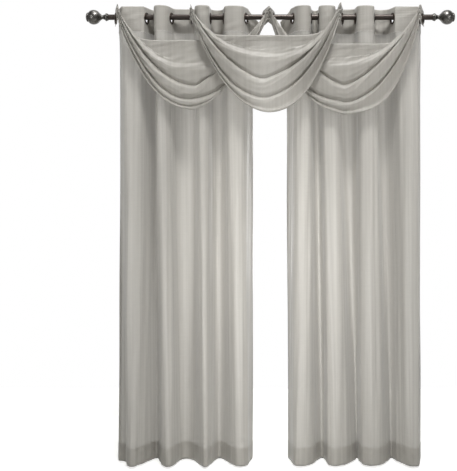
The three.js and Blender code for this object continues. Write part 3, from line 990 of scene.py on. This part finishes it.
for side, (crossings, _, _, _) in panels.items():
    for i, (centre, axis) in enumerate(eyelets_of(crossings)):
        snap_ring(f"{side}_panel_ring_{i + 1}", centre, axis, f"panel_{side}_grommet_{i + 1}")
for place_name, holes in swag_eyelets.items():
    for i, (centre, axis) in enumerate(holes):
        stands_for = f"swag_{place_name}_grommet_{i + 1}"
        snap_ring(f"{place_name}_swag_ring_{i + 1}", centre, axis, stands_for)

# Studio -------------------------------------------------------------------------------------------
# A plain pale floor and backdrop, and plain soft lamps: one high in front, a strip overhead, a tall
# one before the lower half, a slim weak one at each side, a small one on each outer swag, and one
# behind that glows through the voile.
FLOOR = -2.10
BACKDROP = 1.6


def stage_sheet(name, corners, material):
    """A flat piece of the studio."""
    mesh = bpy.data.meshes.new(name)
    mesh.from_pydata(corners, [], [(0, 1, 2, 3)])
    mesh.materials.append(material)
    sheet = bpy.data.objects.new(name, mesh)
    bpy.context.scene.collection.objects.link(sheet)
    return sheet


# Matt white paper: pure white wherever it is looked at from the room, and clear from behind, so
# that the pair can be seen from that side too.
paper, tree = new_material("white_backdrop_paper")
rays = node(tree, "ShaderNodeLightPath").outputs
seen = node(
    tree,
    "ShaderNodeMath",
    {"operation": "MAXIMUM"},
    {0: rays["Is Camera Ray"], 1: rays["Is Glossy Ray"]},
)
seen = node(
    tree,
    "ShaderNodeMath",
    {"operation": "MAXIMUM"},
    {0: seen.outputs[0], 1: rays["Is Transmission Ray"]},
)
matt = node(tree, "ShaderNodeBsdfDiffuse", {"Color": linear("#f4f4f2")})
white = node(tree, "ShaderNodeEmission", {"Color": (1, 1, 1, 1), "Strength": 1})
room_side = node(
    tree, "ShaderNodeMixShader", {}, {0: seen.outputs[0], 1: matt.outputs[0], 2: white.outputs[0]}
)
from_behind = node(tree, "ShaderNodeNewGeometry").outputs["Backfacing"]
clear = node(tree, "ShaderNodeBsdfTransparent")
finish_material(
    tree,
    node(
        tree,
        "ShaderNodeMixShader",
        {},
        {0: from_behind, 1: room_side.outputs[0], 2: clear.outputs[0]},
    ),
)
stage_sheet(
    "backdrop",
    [(-9, BACKDROP, FLOOR), (9, BACKDROP, FLOOR), (9, BACKDROP, 5), (-9, BACKDROP, 5)],
    paper,
)
# Matt white floor paint, lifted a little for the eye so that only the hems' soft shadow shows.
floor_paint, tree = new_material("matt_white_floor")
matt = node(tree, "ShaderNodeBsdfDiffuse", {"Color": linear("#f4f4f2")})
lift = node(tree, "ShaderNodeEmission", {"Color": (1, 1, 1, 1), "Strength": 0.55})
seen = node(tree, "ShaderNodeLightPath").outputs["Is Camera Ray"]
lifted = node(tree, "ShaderNodeAddShader", {}, {0: matt.outputs[0], 1: lift.outputs[0]})
finish_material(
    tree,
    node(tree, "ShaderNodeMixShader", {}, {0: seen, 1: matt.outputs[0], 2: lifted.outputs[0]}),
)
stage_sheet(
    "floor",
    [(-9, -9, FLOOR), (9, -9, FLOOR), (9, BACKDROP, FLOOR), (-9, BACKDROP, FLOOR)],
    floor_paint,
)


def soft_lamp(name, place, target, size, watts, spread=180):
    """A square soft lamp at a place, turned to a target, in metres, watts and degrees of spread."""
    light = bpy.data.lights.new(name, "AREA")
    light.spread = math.radians(spread)
    light.shape = "RECTANGLE"
    light.size, light.size_y = size
    light.energy = watts
    lamp = bpy.data.objects.new(name, light)
    lamp.location = place
    away = np.array(place) - np.array(target)
    lamp.rotation_euler = (
        math.atan2(math.hypot(away[0], away[1]), away[2]),
        0,
        math.atan2(away[0], -away[1]),
    )
    lamp.visible_camera = False
    bpy.context.scene.collection.objects.link(lamp)


soft_lamp("key_lamp", (0.35, -1.9, 2.7), (0, 0, -0.5), (1.2, 0.7), 125)
soft_lamp("top_lamp", (0, -0.3, 2.2), (0, -0.1, 0), (2.2, 0.5), 26)
soft_lamp("front_lamp", (0.03, -1.4, -1.45), (0.03, 0, -1.45), (0.8, 1.2), 4.2, 80)
soft_lamp("left_lamp", (-2.2, -2.6, 0), (-0.9, 0, 0.1), (0.4, 2.6), 2.5, 40)
soft_lamp("right_lamp", (2.2, -2.6, 0), (0.9, 0, 0.1), (0.4, 2.6), 2.5, 40)
soft_lamp("left_swag_lamp", (-0.9, -2.2, 0.3), (-0.45, 0, -0.3), (0.6, 0.3), 0.1, 30)
soft_lamp("right_swag_lamp", (0.9, -2.2, 0.3), (0.45, 0, -0.3), (0.6, 0.3), 0.1, 30)
soft_lamp("window_lamp", (0.03, 0.8, -0.85), (0.03, 0, -0.85), (0.7, 0.9), 6, 100)
world = bpy.data.worlds.new("studio")
world.use_nodes = True
world.node_tree.nodes["Background"].inputs["Color"].default_value = linear("#f2f2f0")
seen = node(world.node_tree, "ShaderNodeLightPath").outputs["Is Camera Ray"]
strength = node(
    world.node_tree, "ShaderNodeMath", {"operation": "MULTIPLY_ADD", 1: 0.8, 2: 0.2}, {0: seen}
)
world.node_tree.links.new(
    strength.outputs[0], world.node_tree.nodes["Background"].inputs["Strength"]
)
bpy.context.scene.world = world
bpy.context.scene.view_settings.view_transform = "Standard"
